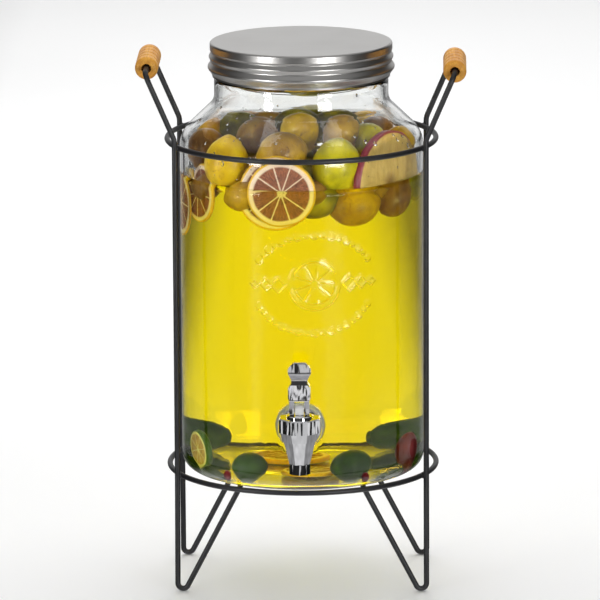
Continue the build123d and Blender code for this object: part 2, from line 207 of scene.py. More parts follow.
def beech():
    n = Nodes("beech_wood")
    along = n.coords((900, 28, 900))
    fibre = n.noise(along, 1.0, 4.0, 0.6, 0.4)
    rings_at = n.coords((1, 0.12, 1))
    figure = n.noise(rings_at, 130, 3.0, 0.5, 1.2)
    flecks = n.noise(n.coords((1500, 160, 1500)), 1.0, 1.0)
    base = n.ramp(figure, [(0.25, (0.56, 0.23, 0.03)), (0.55, (0.76, 0.37, 0.055)),
                           (0.8, (0.88, 0.50, 0.10))])
    lined = n.mix(n.span(fibre, 0.0, 0.6, 0.35, 0.75), base, (0.40, 0.16, 0.03))
    speckled = n.mix(n.span(flecks, 0.0, 0.5, 0.62, 0.75), lined, (0.28, 0.11, 0.025))
    bump = n.bump(fibre, 0.35, 0.0003)
    rough = n.span(fibre, 0.38, 0.55)
    return n.surface(n.principled(Base_Color=speckled, Roughness=rough, Normal=bump,
                                  Specular_IOR_Level=0.25, Coat_Weight=0.06, Coat_Roughness=0.3))


def clear_glass():
    n = Nodes("jar_glass")
    at = n.coords((1, 1, 0.35))
    waves = n.noise(at, 34, 2.0, 0.4)
    seeds = n.noise(n.coords(), 240, 1.0)
    bump = n.bump(waves, 0.35, 0.0012)
    bump = n.bump(seeds, 0.04, 0.0004, bump)
    shader = n.principled(Base_Color=(0.985, 0.995, 0.99, 1), Roughness=0.0, IOR=1.5,
                          Transmission_Weight=1.0, Normal=bump)
    return n.clear_surface(shader, (0.93, 0.94, 0.935))


def drink():
    n = Nodes("lemon_drink")
    swirl = n.noise(n.coords(), 22, 2.0)
    bump = n.bump(swirl, 0.10, 0.0008)
    shader = n.principled(Base_Color=(1, 1, 1, 1), Roughness=0.0, IOR=1.34,
                          Transmission_Weight=1.0, Normal=bump)
    volume = n.add("VolumeAbsorption", {"Color": (0.998, 0.9852, 0.0, 1), "Density": 120.0})
    n.tree.links.new(volume.outputs[0], n.output.inputs["Volume"])
    return n.clear_surface(shader, (0.98, 0.98, 0.96))


def water():
    n = Nodes("water")
    swell = n.noise(n.coords(), 500, 1.0)
    shader = n.principled(Base_Color=(1, 1, 1, 1), Roughness=0.0, IOR=1.33, Transmission_Weight=1.0,
                          Normal=n.bump(swell, 0.1, 0.0003))
    return n.clear_surface(shader, (0.98, 0.98, 0.98))


def lid_steel():
    n = Nodes("lid_steel")
    brush = n.noise(n.coords((14, 1800, 1800)), 1.0, 3.0, 0.6)
    patch = n.noise(n.coords(), 16, 2.0)
    colour = n.ramp(patch, [(0.3, (0.52, 0.51, 0.495)), (0.7, (0.58, 0.57, 0.555))])
    top = n.add("NewGeometry").outputs["Normal"]
    upward = n.add("SeparateXYZ", {"Vector": top}).outputs["Z"]
    flat = n.span(upward, 0.0, 1.0, 0.85, 0.98)
    rough_top = n.span(brush, 0.26, 0.38)
    rough_side = n.span(patch, 0.30, 0.38)
    mixed = n.math("ADD", n.math("MULTIPLY", rough_top, flat),
                   n.math("MULTIPLY", rough_side, n.math("SUBTRACT", 1.0, flat)))
    bump = n.bump(n.math("MULTIPLY", brush, flat), 0.25, 0.0002)
    return n.surface(n.principled(Base_Color=colour, Metallic=1.0, Roughness=mixed, Normal=bump))


def chrome():
    n = Nodes("chrome_plastic")
    cloud = n.noise(n.coords(), 75, 2.0)
    colour = n.ramp(cloud, [(0.3, (0.80, 0.80, 0.82)), (0.7, (0.88, 0.88, 0.90))])
    rough = n.span(cloud, 0.04, 0.12)
    streak = n.noise(n.coords((1, 1, 0.2)), 230, 1.0)
    bump = n.bump(streak, 0.4, 0.0009)
    return n.surface(n.principled(Base_Color=colour, Metallic=1.0, Roughness=rough, Normal=bump))


def plain_plastic(name, colour, rough, transmission=0.0):
    n = Nodes(name)
    grain = n.noise(n.coords(), 700, 2.0)
    broad = n.noise(n.coords(), 60, 2.0)
    tint = tuple(0.9 * c for c in colour)
    shade = n.ramp(broad, [(0.3, tint), (0.7, colour)])
    roughness = n.span(grain, rough, rough + 0.12)
    bump = n.bump(grain, 0.15, 0.0002)
    return n.surface(n.principled(Base_Color=shade, Roughness=roughness, Normal=bump,
                                  Transmission_Weight=transmission, IOR=1.41))


def spring_steel():
    n = Nodes("spring_steel")
    scratch = n.noise(n.coords((600, 600, 2400)), 1.0, 2.0)
    colour = n.ramp(scratch, [(0.3, (0.5, 0.5, 0.5)), (0.7, (0.64, 0.64, 0.63))])
    return n.surface(n.principled(Base_Color=colour, Metallic=1.0, Roughness=n.span(scratch, 0.2, 0.4)))


def peel(name, low, middle, high, blotch, blotch_colour, coat=0.2):
    """Citrus skin: oil-gland dimples, slow colour changes and a few scars."""
    n = Nodes(name)
    at = n.coords()
    slow = n.noise(at, 45, 3.0, 0.55)
    colour = n.ramp(slow, [(0.3, low), (0.5, middle), (0.72, high)])
    scars = n.noise(at, 190, 3.0, 0.7, 1.0)
    colour = n.mix(n.span(scars, 0.0, blotch, 0.62, 0.7), colour, blotch_colour)
    pores = n.add("TexVoronoi", {"Vector": at, "Scale": 900.0}).outputs["Distance"]
    bump = n.bump(pores, 0.35, 0.0005)
    bump = n.bump(slow, 0.3, 0.002, bump)
    rough = n.span(slow, 0.28, 0.42)
    return n.surface(n.principled(Base_Color=colour, Roughness=rough, Normal=bump, Coat_Weight=coat,
                                  Coat_Roughness=0.12, Specular_IOR_Level=0.1 + coat, Subsurface_Weight=0.1,
                                  Subsurface_Scale=0.004, Subsurface_Radius=(1.0, 0.6, 0.2)))


def slice_flesh(name, dark, light, pith, rind):
    """Cut citrus: fibrous pulp, pale walls and pith, and a coloured rind, told apart by mesh attributes."""
    n = Nodes(name)
    ring = n.attribute("ring")
    turn = n.attribute("turn")
    wall = n.attribute("wall")
    polar = n.add("CombineXYZ", {"X": n.math("MULTIPLY", turn, 4.0), "Y": n.math("MULTIPLY", ring, 1.5)})
    fibre = n.noise(polar.outputs[0], 3.2, 4.0, 0.7, 0.5)
    cells = n.noise(n.coords(), 330, 3.0, 0.65, 1.2)
    colour = n.ramp(fibre, [(0.32, dark), (0.64, light)])
    colour = n.mix(n.span(cells, 0.0, 0.65, 0.5, 0.68), colour, tuple(0.55 * c for c in dark))
    uneven = n.math("ADD", wall, n.math("MULTIPLY", cells, 0.03))
    colour = n.mix(n.span(uneven, 0.95, 0.0, 0.022, 0.046), colour, pith)
    core = n.math("ADD", ring, n.math("MULTIPLY", fibre, 0.10))
    colour = n.mix(n.span(core, 1.0, 0.0, 0.10, 0.19), colour, pith)
    colour = n.mix(n.span(ring, 0.0, 1.0, 0.80, 0.85), colour, pith)
    colour = n.mix(n.span(ring, 0.0, 1.0, 0.93, 0.965), colour, rind)
    bump = n.bump(fibre, 0.5, 0.0012)
    bump = n.bump(cells, 0.4, 0.0008, bump)
    return n.surface(n.principled(Base_Color=colour, Roughness=n.span(cells, 0.28, 0.5), Normal=bump,
                                  Subsurface_Weight=0.15, Subsurface_Scale=0.003,
                                  Subsurface_Radius=(1.0, 0.6, 0.3), Coat_Weight=0.2, Coat_Roughness=0.15))


def apple_flesh():
    """Cut apple: grainy flesh with a browned core and a red skin at its edge."""
    n = Nodes("apple_slice")
    ring = n.attribute("ring")
    turn = n.attribute("turn")
    grain = n.noise(n.coords((1, 1, 0.3)), 300, 3.0)
    polar = n.add("CombineXYZ", {"X": n.math("MULTIPLY", turn, 4.0), "Y": ring}).outputs[0]
    streak = n.noise(polar, 2.5, 3.0)
    colour = n.ramp(grain, [(0.3, (0.50, 0.33, 0.07)), (0.7, (0.64, 0.45, 0.13))])
    colour = n.mix(n.span(streak, 0.0, 0.45, 0.5, 0.7), colour, (0.40, 0.24, 0.05))
    core = n.math("ADD", ring, n.math("MULTIPLY", streak, 0.18))
    colour = n.mix(n.span(core, 0.9, 0.0, 0.14, 0.34), colour, (0.20, 0.10, 0.02))
    colour = n.mix(n.span(ring, 0.0, 1.0, 0.95, 0.968), colour, (0.22, 0.022, 0.035))
    bump = n.bump(grain, 0.3, 0.0005)
    return n.surface(n.principled(Base_Color=colour, Roughness=n.span(grain, 0.3, 0.45), Normal=bump,
                                  Subsurface_Weight=0.15, Subsurface_Scale=0.004,
                                  Subsurface_Radius=(1.0, 0.7, 0.4)))


def white_floor():
    """White paper under and behind the object; outside the picture the floor's colour is painted darker at
    the sides and darker still in front, a painted shade in place of the light falling off there.
    """
    n = Nodes("floor")
    place = n.coords()
    mottling = n.noise(place, 2.0, 2.0)
    paper = n.ramp(mottling, [(0.3, (0.94, 0.94, 0.94)), (0.7, (0.96, 0.96, 0.96))])
    split = n.add("SeparateXYZ", {"Vector": place})
    # painted shade: grey at the sides and a darker grey in front stand in for the light falling off away
    # from the object
    side_painted_shade = n.span(n.math("ABSOLUTE", split.outputs["X"]), 0.0, 1.0, 0.38, 0.85)
    front_painted_shade = n.span(n.math("MULTIPLY", split.outputs["Y"], -1.0), 0.0, 1.0, 0.16, 0.50)
    colour = n.mix(front_painted_shade, n.mix(side_painted_shade, paper, (0.34, 0.34, 0.34)), (0.20, 0.20, 0.20))
    return n.surface(n.principled(Base_Color=colour, Roughness=0.6, Specular_IOR_Level=0.3))


# ---------------------------------------------------------------- mesh helpers
def mesh_object(name, verts, faces, material, body=None, attributes=None):
    """A smooth-shaded mesh object from points in millimetres."""
    mesh = bpy.data.meshes.new(name)
    mesh.from_pydata([tuple(c * MM for c in v) for v in verts], [], faces)
    mesh.validate()
    for key, values in (attributes or {}).items():
        layer = mesh.attributes.new(key, "FLOAT", "POINT")
        layer.data.foreach_set("value", values)
    mesh.polygons.foreach_set("use_smooth", [True] * len(mesh.polygons))
    mesh.materials.append(material)
    piece = bpy.data.objects.new(name, mesh)
    bpy.context.scene.collection.objects.link(piece)
    if body is not None:
        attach(piece, body)
    return piece


def lathe_faces(rows, columns, first=0):
    """Quads between rows of a closed round grid whose first point has the index first."""
    faces = []
    for i in range(rows - 1):
        a = first + i * columns
        b = a + columns
        for j in range(columns):
            k = (j + 1) % columns
            faces.append((a + j, a + k, b + k, b + j))
    return faces


def resample(points, spacing):
    """The same line with points no further apart than spacing(point) says."""
    out = [points[0]]
    for a, b in zip(points, points[1:]):
        gap = math.dist(a, b)
        step = spacing(((a[0] + b[0]) / 2, (a[1] + b[1]) / 2))
        count = max(1, math.ceil(gap / step))
        for i in range(1, count + 1):
            t = i / count
            out.append((a[0] + (b[0] - a[0]) * t, a[1] + (b[1] - a[1]) * t))
    return out


def rounded_corner(before, corner, after, radius, steps):
    """Arc points that round one corner of an outline."""
    a = Vector(before) - Vector(corner)
    b = Vector(after) - Vector(corner)
    a.normalize()
    b.normalize()
    half = a.angle(b) / 2
    reach = radius / math.tan(half)
    centre = Vector(corner) + (a + b).normalized() * (radius / math.sin(half))
    start = Vector(corner) + a * reach - centre
    end = Vector(corner) + b * reach - centre
    sweep = start.angle_signed(end)
    points = []
    for i in range(steps + 1):
        turn = Matrix.Rotation(-sweep * i / steps, 2)
        points.append(tuple(centre + turn @ start))
    return points


def rounded_line(points, radii, steps):
    """An outline with each inner corner rounded."""
    out = [points[0]]
    for before, corner, after, radius in zip(points, points[1:], points[2:], radii):
        out += rounded_corner(before, corner, after, radius, steps)
    out.append(points[-1])
    return out


# ---------------------------------------------------------------- jar
def wall_line(inset, bottom, heel, top):
    """(radius, height) line of the jar's wall from its middle at the bottom to the top."""
    slope = (NECK_Z - SHOULDER_Z) / (JAR_R - NECK_R)
    drop = inset * math.tan((math.pi / 2 - math.atan(slope)) / 2)
    corners = [
        (0.0, bottom),
        (JAR_R - inset, bottom),
        (JAR_R - inset, SHOULDER_Z - drop),
        (NECK_R - inset, NECK_Z - drop),
        (NECK_R - inset, top),
    ]
    return rounded_line(corners, [heel, SHOULDER_ROUND - inset, NECK_ROUND + inset], 12)


def soft_edge(distance, width=0.9):
    """1 inside a shape, 0 outside, with a rounded moulded edge."""
    t = np.clip(0.5 - distance / width, 0.0, 1.0)
    return t * t * (3 - 2 * t)


def emblem_height(u, v):
    """Raised ornament: a citrus wheel between two rows of beads and two rows of lozenges."""
    r = np.hypot(u, v)
    angle = np.arctan2(v, u)
    height = soft_edge(np.abs(r - 19.0) - 1.4)
    spokes = 9
    sector = (angle / (2 * math.pi) * spokes) % 1.0
    side = np.minimum(sector, 1 - sector) * 2 * math.pi / spokes * r
    inside = np.maximum(np.maximum(r - 15.6, 3.4 - r), 0.9 - side)
    height = np.maximum(height, soft_edge(inside))
    beads = 17
    for sign in (1, -1):
        for i in range(beads):
            t = math.radians(90 + (i - (beads - 1) / 2) * 7.6)
            cx = 50.0 * math.cos(t)
            cy = sign * (40.0 * math.sin(t) - 1.5)
            big = 2.7 if i % 2 == 0 else 1.7
            height = np.maximum(height, soft_edge(np.hypot(u - cx, v - cy) - big))
    for side_sign in (1, -1):
        for i, size in enumerate((5.2, 4.0, 2.8)):
            cx = side_sign * (28.0 + 9.5 * i)
            lozenge = np.abs(u - cx) * 0.9 + np.abs(v) * 0.9 - size
            height = np.maximum(height, soft_edge(np.abs(lozenge) - 1.0))
    return height


def ring_angles():
    """Angles round the jar, close together across the front and wider elsewhere."""
    fine = EMBLEM_STEP / JAR_R
    front = -math.pi / 2 + EMBLEM_TURN
    half = EMBLEM_HALF_WIDTH / JAR_R
    inner = np.arange(-half, half, fine)
    rest = np.linspace(half, 2 * math.pi - half, 150, endpoint=False)
    return front + np.concatenate([inner, rest])


def at_tap(z):
    return abs(z - TAP_Z) < BOSS_R + 3


def at_emblem(z):
    return abs(z - EMBLEM_Z) < EMBLEM_HALF_HEIGHT


def flatten_boss(x, y, z, plane):
    """Brings the wall to a flat round pad at the tap hole."""
    reach = np.hypot(x, z - TAP_Z)
    weight = soft_edge(reach - BOSS_R, 2.4) * (y < 0)
    return y + (plane - y) * weight


def outer_step(point):
    """Spacing of the rows on the outside: close where the glass has relief."""
    _, z = point
    if at_emblem(z):
        return EMBLEM_STEP
    if at_tap(z):
        return 0.8
    if z > FINISH_STEP_Z:
        return 0.7
    return 4.0


def inner_step(point):
    return 1.5 if at_tap(point[1]) else 5.0


def jar_lines():
    """The outside line from the middle of the foot over the rim, and the inside line back down."""
    lip_z = JAR_TOP - 5.0
    bore_r = NECK_R - WALL
    dish_z = JAR_BOTTOM + RECESS_DEPTH
    outer = wall_line(0.0, JAR_BOTTOM, HEEL_R, FINISH_STEP_Z - 1.0)
    outer = [(RECESS_R, JAR_BOTTOM)] + [p for p in outer if p[0] > RECESS_R]
    dish = [(0.0, dish_z), (RECESS_R - 3.0, dish_z)]
    finish = rounded_line(
        [(NECK_R - 0.6, FINISH_STEP_Z), (FINISH_R, FINISH_STEP_Z + 0.8), (FINISH_R, JAR_TOP),
         (bore_r, JAR_TOP), (bore_r, lip_z)],
        [0.4, 1.0, 1.0], 4)
    inner = wall_line(WALL, JAR_BOTTOM + BASE, HEEL_R - WALL / 2, lip_z)
    return resample(dish + outer + finish, outer_step), resample(inner[::-1], inner_step)


def jar_shell(material):
    """The glass jar with its emblem and thread in relief, in place of the CAD jar."""
    angles = ring_angles()
    columns = len(angles)
    cos, sin = np.cos(angles), np.sin(angles)
    from_emblem = (angles + math.pi / 2 - EMBLEM_TURN + math.pi) % (2 * math.pi) - math.pi
    outside_line, inside_line = jar_lines()
    line = (outside_line + inside_line[1:])[1:-1]
    inside_from = len(outside_line) - 1
    verts = []
    for i, (r, z) in enumerate(line):
        outside = i < inside_from
        radius = np.full(columns, r)
        if outside and at_emblem(z):
            relief = emblem_height(from_emblem * JAR_R, np.full(columns, z - EMBLEM_Z))
            radius = radius + EMBLEM_RELIEF * relief
        if outside and z > FINISH_STEP_Z + 1.5 and r > NECK_R - WALL + 0.5:
            radius = radius + thread_height(angles, z)
        x, y = radius * cos, radius * sin
        if at_tap(z):
            y = flatten_boss(x, y, z, BOSS_FRONT if outside else BOSS_BACK)
        verts += list(zip(x, y, np.full(columns, z)))
    faces = [f[::-1] for f in lathe_faces(len(line), columns)]
    bottom = len(verts)
    verts.append((0.0, 0.0, JAR_BOTTOM + RECESS_DEPTH))
    top = len(verts)
    verts.append((0.0, 0.0, JAR_BOTTOM + BASE))
    last = (len(line) - 1) * columns
    for j in range(columns):
        k = (j + 1) % columns
        faces.append((k, j, bottom))
        faces.append((last + j, last + k, top))
    jar = mesh_object("jar", [tuple(map(float, v)) for v in verts], faces, material)
    orient_outward(jar)
    drill(jar, HOLE_R, BOSS_FRONT - 10, BOSS_BACK + 10)
    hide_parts("jar_glass")
    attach(jar, "jar")


def thread_height(angles, z):
    """Raised helical thread on the neck, fading in and out at its ends."""
    turns = angles % (2 * math.pi) / (2 * math.pi)
    total = np.zeros_like(angles)
    for whole in range(-1, 3):
        along = turns + whole
        centre = THREAD_START_Z + THREAD_PITCH * along
        fade = np.clip(along / 0.05, 0, 1) * np.clip((THREAD_TURNS - along) / 0.05, 0, 1)
        shape = np.clip((1.75 - np.abs(z - centre)) / 1.2, 0, 1)
        total = np.maximum(total, THREAD_HEIGHT * shape * fade)
    return total


def orient_outward(piece):
    """Turns every face of a closed mesh to face out."""
    bm = bmesh.new()
    bm.from_mesh(piece.data)
    bmesh.ops.recalc_face_normals(bm, faces=bm.faces)
    bm.to_mesh(piece.data)
    bm.free()


def drill(piece, radius, y_front, y_back):
    """Cuts the tap's round hole through the wall."""
    steps = 64
    verts = []
    for y in (y_front, y_back):
        for i in range(steps):
            t = 2 * math.pi * i / steps
            verts.append((radius * math.cos(t), y, TAP_Z + radius * math.sin(t)))
    faces = [(i, (i + 1) % steps, steps + (i + 1) % steps, steps + i) for i in range(steps)]
    faces += [tuple(range(steps))[::-1], tuple(range(steps, 2 * steps))]
    cutter = mesh_object("cutter", verts, faces, piece.data.materials[0])
    orient_outward(cutter)
    cut = piece.modifiers.new("hole", "BOOLEAN")
    cut.operation = "DIFFERENCE"
    cut.object = cutter
    cut.solver = "EXACT"
    apply_modifiers(piece)
    bpy.data.objects.remove(cutter)


def apply_modifiers(piece):
    """Puts the modified mesh in place of the piece's own."""
    evaluated = piece.evaluated_get(bpy.context.evaluated_depsgraph_get())
    mesh = bpy.data.meshes.new_from_object(evaluated)
    piece.modifiers.clear()
    old = piece.data
    piece.data = mesh
    bpy.data.meshes.remove(old)


# ---------------------------------------------------------------- drink
def drink_body(material):
    """The drink fills the jar to its level and wets the glass, with a raised edge at the wall."""
    overlap = 0.12
    line = wall_line(WALL - overlap, JAR_BOTTOM + BASE - overlap, HEEL_R - WALL / 2, JAR_TOP)
    wet = [p for p in resample(line, lambda p: 4.0) if p[1] < LIQUID_Z]
    wall_r = JAR_R - WALL + overlap
    surface = []
    for i in range(9):
        inward = 6.0 * (i / 8) ** 2
        rise = MENISCUS * math.exp(-inward / 1.6)
        surface.append((wall_r - inward, LIQUID_Z + rise))
    surface += [(wall_r * (1 - k / 8) - 3.0 * k / 8, LIQUID_Z) for k in range(1, 8)]
    line = wet[1:] + surface
    columns = 180
    verts = []
    for r, z in line:
        for j in range(columns):
            t = 2 * math.pi * j / columns
            verts.append((r * math.cos(t), r * math.sin(t), z))
    faces = lathe_faces(len(line), columns)
    bottom = len(verts)
    verts.append((0.0, 0.0, JAR_BOTTOM + BASE - overlap))
    top = len(verts)
    verts.append((0.0, 0.0, LIQUID_Z))
    last = (len(line) - 1) * columns
    for j in range(columns):
        k = (j + 1) % columns
        faces.append((bottom, k, j))
        faces.append((top, last + j, last + k))
    piece = mesh_object("drink", verts, faces, material, "jar")
    piece.visible_shadow = False
    orient_outward(piece)


# ---------------------------------------------------------------- fruit
def placed(points, centre, turn):
    """Points turned by Euler angles in degrees, then moved."""
    rotation = Matrix.Rotation(math.radians(turn[2]), 3, "Z")
    rotation = rotation @ Matrix.Rotation(math.radians(turn[1]), 3, "Y")
    rotation = rotation @ Matrix.Rotation(math.radians(turn[0]), 3, "X")
    return [tuple(rotation @ Vector(p) + Vector(centre)) for p in points]


def whole_fruit(name, material, centre, radius, length, turn, tip, seed):
    """A whole citrus fruit or plum: a lathed body with a tip at each end and uneven sides."""
    rows, columns = 28, 40
    points = [(0.0, 0.0, -length / 2 - tip)]
    for i in range(1, rows):
        t = math.pi * i / rows
        z = -math.cos(t) * length / 2
        r = radius * math.sin(t) ** 0.92
        z += -tip * math.exp(-(t / 0.30) ** 2) + tip * math.exp(-((math.pi - t) / 0.30) ** 2)
        for j in range(columns):
            a = 2 * math.pi * j / columns
            spot = Vector((math.cos(a) * 1.5 + seed * 7.3, math.sin(a) * 1.5, z / radius))
            lump = 1 + 0.035 * noise.noise(spot)
            points.append((r * lump * math.cos(a), r * lump * math.sin(a), z))
    points.append((0.0, 0.0, length / 2 + tip))
    faces = lathe_faces(rows - 1, columns, 1)
    last = 1 + (rows - 2) * columns
    for j in range(columns):
        k = (j + 1) % columns
        faces.append((0, 1 + k, 1 + j))
        faces.append((len(points) - 1, last + j, last + k))
    piece = mesh_object(name, placed(points, centre, turn), faces, material, "jar")
    orient_outward(piece)


def round_slice(name, material, centre, radius, thickness, turn, segments, seed, lower=1.0):
    """A cut slice standing on edge, facing Y before it is turned; lower < 1 flattens its lower half."""
    draw = random.Random(seed)
    per = 8
    columns = segments * per
    rings = [0.0, 0.06, 0.12, 0.25, 0.42, 0.60, 0.75, 0.82, 0.88, 0.94, 0.98, 1.0]
    shift = [draw.uniform(-0.16, 0.16) for _ in range(segments)]
    sunk = [draw.uniform(0.25, 0.7) for _ in range(segments)]
    verts, ring_value, turn_value, wall_value = [], [], [], []
    for side in (-1, 1):
        for ring in rings:
            for j in range(columns):
                segment, along = divmod(j, per)
                along /= per
                following = shift[(segment + 1) % segments]
                place = segment + along + shift[segment] * (1 - along) + following * along
                a = 2 * math.pi * place / segments
                near = min(along, 1 - along)
                wave = 1 + 0.02 * noise.noise(Vector((math.cos(a) * 2, math.sin(a) * 2, seed)))
                r = ring * radius * wave
                hollow = sunk[segment] if 0.1 < ring < 0.82 and near > 0.05 else 0.0
                round_off = thickness * 0.22 * max(0.0, (ring - 0.9) / 0.1) ** 2
                x, z = r * math.cos(a), r * math.sin(a)
                if z < 0:
                    z *= lower
                verts.append((x, side * (thickness / 2 - round_off - hollow), z))
                ring_value.append(min(ring, math.hypot(x, z) / (radius * wave)))
                turn_value.append(place)
                wall_value.append(near * 2 * math.pi / segments * ring)
    count = len(rings)
    faces = lathe_faces(count, columns)
    faces += [f[::-1] for f in lathe_faces(count, columns, count * columns)]
    outer_a = (count - 1) * columns
    outer_b = (2 * count - 1) * columns
    for j in range(columns):
        k = (j + 1) % columns
        faces.append((outer_a + j, outer_a + k, outer_b + k, outer_b + j))
    piece = mesh_object(name, placed(verts, centre, turn), faces, material, "jar",
                        {"ring": ring_value, "turn": turn_value, "wall": wall_value})
    merge_close(piece)
    orient_outward(piece)


def merge_close(piece):
    """Joins points that share one place, such as a slice's middle."""
    bm = bmesh.new()
    bm.from_mesh(piece.data)
    bmesh.ops.remove_doubles(bm, verts=bm.verts, dist=1e-6)
    bm.to_mesh(piece.data)
    bm.free()


def fruit():
    """The heap that floats at the top, the pieces lying at the bottom, and the cut slices."""
    lemon = peel("lemon_skin", (0.42, 0.24, 0.002), (0.66, 0.42, 0.003), (0.80, 0.58, 0.01),
                 0.7, (0.16, 0.07, 0.01))
    ripe = peel("ripe_lemon_skin", (0.20, 0.09, 0.005), (0.40, 0.22, 0.008), (0.58, 0.36, 0.012),
                0.7, (0.10, 0.04, 0.01))
    # painted shade: this very dark brown skin is put on fruit under and behind the heap, where it paints
    # the deep shade between the pieces
    shade_brown = peel("shade_dark_lemon_skin", (0.09, 0.035, 0.006), (0.20, 0.09, 0.012), (0.34, 0.20, 0.02),
                 0.6, (0.05, 0.02, 0.01))
    olive = peel("olive_lime_skin", (0.09, 0.075, 0.004), (0.20, 0.17, 0.006), (0.38, 0.31, 0.012),
                 0.6, (0.07, 0.04, 0.01))
    lime = peel("lime_skin", (0.26, 0.24, 0.003), (0.54, 0.46, 0.004), (0.72, 0.62, 0.010),
                0.5, (0.12, 0.08, 0.01))
    dark_lime = peel("dark_lime_skin", (0.006, 0.022, 0.001), (0.012, 0.040, 0.001), (0.035, 0.09, 0.004),
                     0.2, (0.02, 0.03, 0.003), 0.03)
    plum = peel("plum_skin", (0.05, 0.003, 0.005), (0.10, 0.007, 0.009), (0.18, 0.018, 0.018),
                0.1, (0.3, 0.2, 0.05), 0.03)
    dried = slice_flesh("orange_slice", (0.12, 0.028, 0.008), (0.38, 0.12, 0.045), (0.82, 0.64, 0.44),
                        (0.72, 0.42, 0.01))
    green = slice_flesh("lime_slice", (0.38, 0.22, 0.05), (0.66, 0.40, 0.12), (0.75, 0.70, 0.40),
                        (0.03, 0.10, 0.005))
    apple = apple_flesh()

    # name, skin, centre, radius, length, turn, tip
    heap = [
        ("lemon_front_left", lemon, (-56, -49, 340), 16.8, 40, (8, 6, 0), 2.5),
        ("lemon_middle", ripe, (-14, -55, 348), 16.5, 38, (0, 80, 20), 2.0),
        ("lime_front_right", lime, (28, -60, 339), 19.0, 43, (10, 8, 0), 1.5),
        ("lemon_tall", lemon, (-1, -23, 359), 15.0, 34, (60, 0, 15), 2.0),
        ("lemon_second_right", ripe, (31, -20, 358), 13.0, 28, (0, 60, 10), 1.5),
        ("lemon_shade_dark_left", shade_brown, (-34, -22, 355), 14.5, 32, (0, 75, -15), 1.5),
        ("lemon_far_left", shade_brown, (-73, -14, 344), 15.0, 34, (30, 0, 0), 1.5),
        ("lemon_left_rim", ripe, (-70, 12, 350), 13.5, 30, (0, 70, 60), 1.5),
        ("lime_back_left", olive, (-51, 12, 355), 13.5, 32, (0, 85, 30), 1.5),
        ("lemon_back_left", ripe, (-27, 24, 353), 14.0, 34, (0, 85, 10), 1.5),
        ("lemon_back", olive, (-4, 16, 359), 13.5, 32, (0, 88, 10), 2.0),
        ("lime_back_right", olive, (27, 26, 354), 15.0, 36, (0, 85, -10), 1.5),
        ("lemon_right_back", shade_brown, (58, 20, 350), 14.0, 32, (0, 80, 60), 1.5),
        ("lime_right", lime, (51, -10, 350), 13.5, 30, (30, 70, 0), 1.5),
        ("lemon_right_rim", ripe, (76, -2, 345), 13.0, 30, (20, 0, 0), 1.5),
        ("lemon_rear_right", ripe, (50, 50, 346), 15.0, 36, (0, 80, 40), 2.0),
        ("lime_rear_middle", olive, (6, 62, 350), 16.0, 40, (0, 85, 0), 2.0),
        ("lemon_rear_left", shade_brown, (-44, 52, 346), 15.5, 36, (0, 80, -40), 1.5),
        # the brown-skinned fruit from here down fill the gaps under the heap as painted shade
        ("lemon_under_left", shade_brown, (-34, -46, 331), 15.0, 34, (0, 70, 10), 1.5),
        ("lemon_under_far_left", shade_brown, (-64, 8, 327), 15.5, 38, (10, 60, 80), 1.5),
        ("lemon_under_middle", olive, (4, -46, 327), 16.5, 38, (20, 75, 0), 2.0),
        ("lemon_under_right", shade_brown, (50, -36, 322), 17.0, 38, (0, 75, 35), 2.0),
        ("lemon_sunk_right", ripe, (39, -56, 309), 15.5, 36, (0, 82, 15), 2.0),
        ("lime_sunk_middle", olive, (12, -62, 314), 13.0, 32, (0, 70, 0), 1.5),
        ("lemon_sunk_far_right", shade_brown, (67, -36, 311), 13.5, 32, (0, 60, 50), 1.5),
        ("lemon_sunk_left", ripe, (-41, -66, 319), 12.0, 30, (0, 70, -20), 1.5),
        ("lemon_sunk_left_rim", shade_brown, (-68, -40, 321), 11.0, 28, (0, 80, -40), 1.5),
        ("lime_sunk_right_rim", olive, (80, -10, 316), 10.0, 28, (0, 60, 80), 1.0),
        ("lemon_gap_middle", shade_brown, (8, -74, 322), 9.5, 24, (0, 80, 0), 1.0),
        ("lime_under_far_right", olive, (74, -12, 323), 15.0, 36, (0, 70, 80), 1.5),
        ("lime_under_back", olive, (-14, 30, 330), 19.0, 44, (0, 80, 10), 1.5),
        ("lemon_under_back_right", shade_brown, (36, 18, 328), 18.0, 42, (0, 70, 80), 2.0),
        ("lemon_under_centre", shade_brown, (-30, -4, 328), 18.0, 40, (0, 80, 40), 1.5),
        ("lemon_under_rear", olive, (34, 60, 330), 16.0, 38, (0, 80, 30), 1.5),
        ("lime_under_rear", shade_brown, (-10, 66, 330), 16.0, 40, (0, 85, 0), 1.5),
        ("lime_under_rear_left", olive, (-52, 46, 327), 17.0, 40, (0, 80, -40), 1.5),
        ("lime_under_rear_right", olive, (68, 30, 328), 15.0, 36, (0, 80, 60), 1.5),
    ]
    bottom = [
        ("lime_bottom_left", dark_lime, (-38, -69, 104.5), 11.2, 27, (0, 84, 6), 0.8),
        ("lime_bottom_right", dark_lime, (37, -68.5, 105.5), 12.2, 31, (0, 82, 12), 0.8),
        ("plum_bottom", plum, (76, -30, 108.5), 11.5, 28, (0, 20, 0), 0.5),
        ("lime_bottom_back_left", dark_lime, (-48, 52, 106.0), 12.0, 28, (0, 85, 20), 0.8),
        ("lime_bottom_back_right", dark_lime, (40, 60, 105.0), 11.0, 27, (0, 85, 60), 0.8),
        ("berry_left", plum, (-56, -69.5, 97.5), 3.4, 7, (0, 0, 0), 0.2),
        ("berry_right", plum, (49, -74.5, 97.2), 3.2, 6.5, (0, 0, 0), 0.2),
    ]
    for i, (name, skin, centre, radius, length, turn, tip) in enumerate(heap + bottom):
        whole_fruit(name, skin, centre, radius, length, turn, tip, i)

